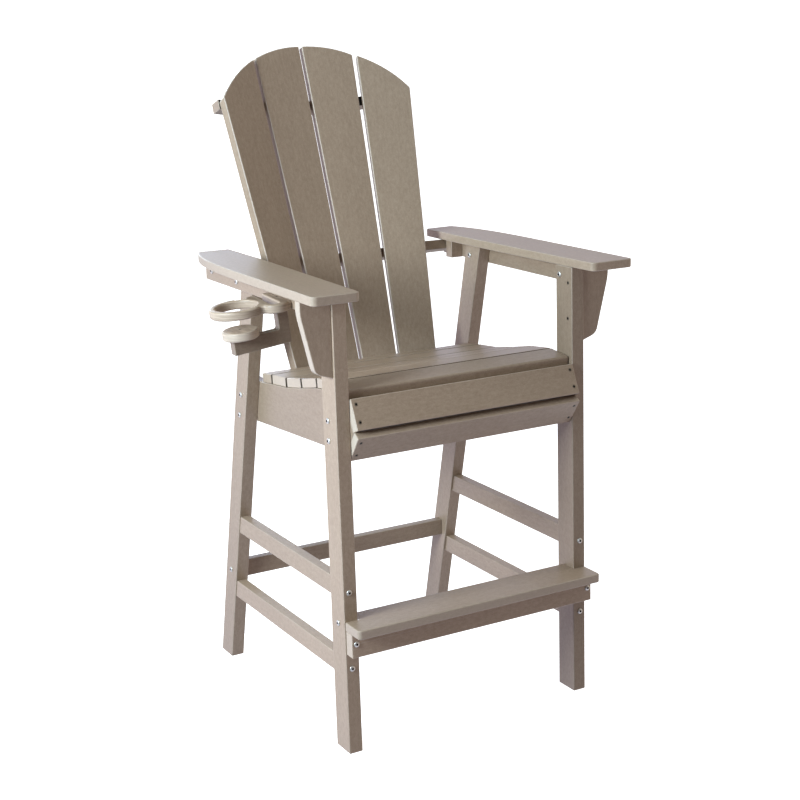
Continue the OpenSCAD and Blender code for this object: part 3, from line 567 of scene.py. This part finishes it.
# One fastener on every point of a mesh. A bolt has a domed head with a hexagon socket,
# and a screw lies flush and has a cross recess.
def fastenerTree(name, cross):
    tree = bpy.data.node_groups.new(name, "GeometryNodeTree")
    sockets = tree.interface
    sockets.new_socket("Geometry", in_out="INPUT", socket_type="NodeSocketGeometry")
    for label in boltShape:
        sockets.new_socket(label, in_out="INPUT", socket_type="NodeSocketFloat")
    sockets.new_socket("Metal", in_out="INPUT", socket_type="NodeSocketMaterial")
    sockets.new_socket("Geometry", in_out="OUTPUT", socket_type="NodeSocketGeometry")
    making = fastenerMaking
    bench = nodeBench(tree)
    entry = bench.node("NodeGroupInput")
    given = {s.name: wire(bench, s) for s in entry.outputs if s.name}
    radius, height, rim = given["Head Radius"], given["Head Height"], given["Rim"]
    sink = -1.0 if cross else 0.0

    def vector(x, y, z):
        return bench.add("ShaderNodeCombineXYZ", None, {0: x, 1: y, 2: z})

    place = bench.node("ShaderNodeSeparateXYZ", None, {0: bench.add("GeometryNodeInputPosition")})
    x, y, z = (wire(bench, place.outputs[i]) for i in range(3))
    above = z.joined("GREATER_THAN", z, making["rimFrom"])
    dome = z.joined("MAXIMUM", z, 0.0) / radius * height + above * rim
    ball = bench.add("GeometryNodeMeshUVSphere", None, {
        "Segments": making["segments"], "Rings": making["rings"], "Radius": radius})
    head = bench.add("GeometryNodeSetPosition", None, {
        "Geometry": ball, "Position": vector(x, y, dome + (height + rim) * sink)})
    top = (height + rim) * (1.0 + sink)
    depth = given["Recess Depth"]
    if cross:
        long, slim = given["Recess Radius"] * 2.0, given["Recess Radius"] * making["crossWidth"]
        bars = [bench.add("GeometryNodeMeshCube", None, {"Size": vector(*size)})
                for size in ((long, slim, depth * 2.0), (slim, long, depth * 2.0))]
        joined = bench.node("GeometryNodeJoinGeometry")
        for bar in bars:
            tree.links.new(bar.socket, joined.inputs[0])
        cutter = wire(bench, joined.outputs[0])
    else:
        cutter = bench.add("GeometryNodeMeshCylinder", None, {
            "Vertices": making["socketSides"], "Radius": given["Recess Radius"],
            "Depth": depth * 2.0})
    cutter = bench.add("GeometryNodeTransform", None, {
        "Geometry": cutter, "Translation": vector(0.0, 0.0, top)})
    cut = bench.add("GeometryNodeMeshBoolean", {"operation": "DIFFERENCE"}, {
        "Mesh 1": head, "Mesh 2": cutter})
    # Faces inside the recess's circle are marked, for the painted shade of the recess
    inside = (x * x + y * y) / (given["Recess Radius"] * given["Recess Radius"])
    inside = inside.joined("LESS_THAN", inside, 1.0)
    cut = bench.add("GeometryNodeStoreNamedAttribute", {"data_type": "FLOAT", "domain": "FACE"}, {
        "Geometry": cut, "Name": "recessShade", "Value": inside})
    rod = bench.add("GeometryNodeMeshCylinder", None, {
        "Vertices": making["shankSides"], "Radius": given["Shank Radius"], "Depth": 1.0})
    rod = bench.add("GeometryNodeTransform", None, {
        "Geometry": rod, "Translation": (0.0, 0.0, making["screwRod" if cross else "boltRod"])})
    axis = bench.add("GeometryNodeInputNamedAttribute", {"data_type": "FLOAT_VECTOR"}, {
        "Name": "axis"})
    shank = bench.add("GeometryNodeInputNamedAttribute", {"data_type": "FLOAT"}, {"Name": "shank"})
    turn = bench.add("FunctionNodeAlignRotationToVector", {"axis": "Z"}, {"Vector": axis})
    heads = bench.add("GeometryNodeInstanceOnPoints", None, {
        "Points": given["Geometry"], "Instance": cut, "Rotation": turn})
    rods = bench.add("GeometryNodeInstanceOnPoints", None, {
        "Points": given["Geometry"], "Instance": rod, "Rotation": turn,
        "Scale": vector(1.0, 1.0, shank)})
    both = bench.node("GeometryNodeJoinGeometry")
    for part in (rods, heads):
        tree.links.new(part.socket, both.inputs[0])
    whole = bench.add("GeometryNodeRealizeInstances", None, {
        "Geometry": wire(bench, both.outputs[0])})
    painted = bench.add("GeometryNodeSetMaterial", None, {
        "Geometry": whole, "Material": given["Metal"]})
    bench.node("NodeGroupOutput", None, {"Geometry": painted})
    return tree


trees = {"bolt": (fastenerTree("socketBolts", False), boltShape, stainless, "stainless"),
         "screw": (fastenerTree("flushScrews", True), screwShape, bronzed, "dark_screw")}


def fasteners(name, kind):
    tree, shape, metal, slotName = trees[kind]
    points = bpy.data.meshes.new(name)
    points.from_pydata([seat for seat, axis, shank in spots[name]], [], [])
    points.attributes.new("axis", "FLOAT_VECTOR", "POINT")
    points.attributes.new("shank", "FLOAT", "POINT")
    for i, (seat, axis, shank) in enumerate(spots[name]):
        points.attributes["axis"].data[i].vector = axis
        points.attributes["shank"].data[i].value = shank
    holder = placed(name + "_points", points)
    modifier = holder.modifiers.new("fasteners", "NODES")
    modifier.node_group = tree
    for item in tree.interface.items_tree:
        if item.in_out == "INPUT" and item.name in shape:
            modifier[item.identifier] = shape[item.name]
        if item.in_out == "INPUT" and item.name == "Metal":
            modifier[item.identifier] = metal
    mesh = evaluatedMesh(holder)
    mesh.shade_smooth()
    mesh.set_sharp_from_angle(angle=fastenerMaking["sharpAbove"])
    piece = placed(name + "_turned", mesh)
    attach(piece, "root")
    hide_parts(name)


for name, kind in hardware.items():
    fasteners(name, kind)
print("fasteners made")


studio = {
    "floor": {"size": 40, "colour": (0.9, 0.9, 0.9, 1.0), "roughness": 0.9, "specular": 0.1,
              "glowColour": (1.0, 1.0, 1.0, 1.0), "glow": 1.0},
    "lamps": {
        "key": {"place": (-2.3, -0.6, 1.5), "aim": (0, 0, 0.6), "size": 1.0, "power": 78,
                "colour": (0.863, 1.017, 1.117)},
        "rear": {"place": (-1.6, 0.2, 2.2), "aim": (0, 0, 0.8), "size": 1.0, "power": 6,
                 "colour": (0.6, 1.06, 1.29)},
    },
    # Soft light from all round: where each patch of the sky lies, how narrow it is, its colour
    "patches": {
        "below": {"towards": (0, 0, -1), "narrow": 2.0, "colour": (1.06, 1.19, 1.44)},
        "above": {"towards": (0, 0, 1), "narrow": 2.0, "colour": (0.75, 0.8, 0.815)},
        "right": {"towards": (1, 0, 0), "narrow": 2.0, "colour": (0.79, 0.714, 0.587)},
        "rearLeft": {"towards": (-0.48, 0.84, -0.25), "narrow": 6.0, "colour": (1.41, 1.28, 1.56)},
        "rearRight": {"towards": (0.48, 0.84, 0.25), "narrow": 12.0, "colour": (0.731, 0.715, 1.007)},
        "rearMiddle": {"towards": (0.136, 0.969, 0.208), "narrow": 60.0, "colour": (11.3, 12.9, 14.7)},
        "frontRight": {"towards": (0.48, -0.8, -0.4), "narrow": 6.0, "colour": (0.38, 0.27, 0.3)},
    },
}


def makeSheets(floor):
    size = floor["size"]
    corners = [(x, y, z) for z in (0, size) for x, y in (
        (-size, -size), (size, -size), (size, size), (-size, size))]
    material, bench = newMaterial("paleFloor")
    shader = bench.add("ShaderNodeBsdfPrincipled", None, {
        "Base Color": floor["colour"], "Roughness": floor["roughness"],
        "Specular IOR Level": floor["specular"],
        "Emission Color": floor["glowColour"], "Emission Strength": floor["glow"]})
    bench.node("ShaderNodeOutputMaterial", None, {"Surface": shader})
    # The sheets are seen but light nothing; the sky does, and it shines through the side walls
    sheets = {"studioFloor": [(0, 1, 2, 3), (3, 2, 6, 7)],
              "studioWalls": [(1, 0, 4, 5), (2, 1, 5, 6), (0, 3, 7, 4)]}
    for name, faces in sheets.items():
        sheet = bpy.data.meshes.new(name)
        sheet.from_pydata(corners, [], faces)
        sheet.materials.append(material)
        ground = placed(name, sheet)
        ground.visible_diffuse = ground.visible_glossy = False
        ground.visible_shadow = name == "studioFloor"


def makeLamps(lamps):
    for name, light in lamps.items():
        lamp = bpy.data.lights.new(name, "AREA")
        lamp.shape, lamp.size = "DISK", light["size"]
        lamp.energy, lamp.color = light["power"], light["colour"]
        stand = placed(name, lamp)
        stand.location = light["place"]
        aim = Vector(light["aim"]) - Vector(light["place"])
        stand.rotation_euler = aim.to_track_quat("-Z", "Y").to_euler()


# The sky is the sum of its patches, each brightest where it lies
def makeSky(patches):
    world = bpy.data.worlds.new("paleStudio")
    world.use_nodes = True
    world.node_tree.nodes.clear()
    bench = nodeBench(world.node_tree)
    way = bench.add("ShaderNodeTexCoord", None, None, "Generated")
    total = (0.0, 0.0, 0.0)
    for patch in patches.values():
        towards = Vector(patch["towards"]).normalized()
        facing = bench.add("ShaderNodeVectorMath", {"operation": "DOT_PRODUCT"},
                           {0: way, 1: towards}, "Value")
        share = facing.joined("MAXIMUM", facing, 0.0)
        share = share.joined("POWER", share, patch["narrow"])
        glow = bench.add("ShaderNodeVectorMath", {"operation": "SCALE"},
                         {0: patch["colour"], "Scale": share})
        total = bench.add("ShaderNodeVectorMath", {"operation": "ADD"}, {0: total, 1: glow})
    light = bench.add("ShaderNodeBackground", None, {"Color": total, "Strength": 1.0})
    bench.node("ShaderNodeOutputWorld", None, {"Surface": light})
    bpy.context.scene.world = world


# The photograph's viewpoint: turn and tilt in degrees, place in metres, and the focal length in
# pixels of a picture that is as wide as the sensor
viewpoint = {"azimuth": -29.723, "elevation": 14.341, "roll": 1.213,
             "place": (-1.5853, -2.9114, 1.4796),
             "sensorWidth": 36, "focalPixels": 1569.59, "pictureWidth": 800, "farthest": 100}


def makeCamera(look):
    a, e, r = (math.radians(look[k]) for k in ("azimuth", "elevation", "roll"))
    right = Vector((math.cos(a), math.sin(a), 0))
    up = Vector((-math.sin(a) * math.sin(e), math.cos(a) * math.sin(e), math.cos(e)))
    back = right.cross(up)
    lens = bpy.data.cameras.new("view")
    lens.lens = look["sensorWidth"] * look["focalPixels"] / look["pictureWidth"]
    lens.sensor_width, lens.clip_end = look["sensorWidth"], look["farthest"]
    camera = placed("view", lens)
    side = right * math.cos(r) - up * math.sin(r)
    top = right * math.sin(r) + up * math.cos(r)
    turn = Matrix((side, top, back)).transposed().to_4x4()
    camera.matrix_world = Matrix.Translation(look["place"]) @ turn
    bpy.context.scene.camera = camera


makeSheets(studio["floor"])
makeLamps(studio["lamps"])
makeSky(studio["patches"])
makeCamera(viewpoint)
bpy.context.scene.view_settings.view_transform = "Standard"
print("studio and camera set")
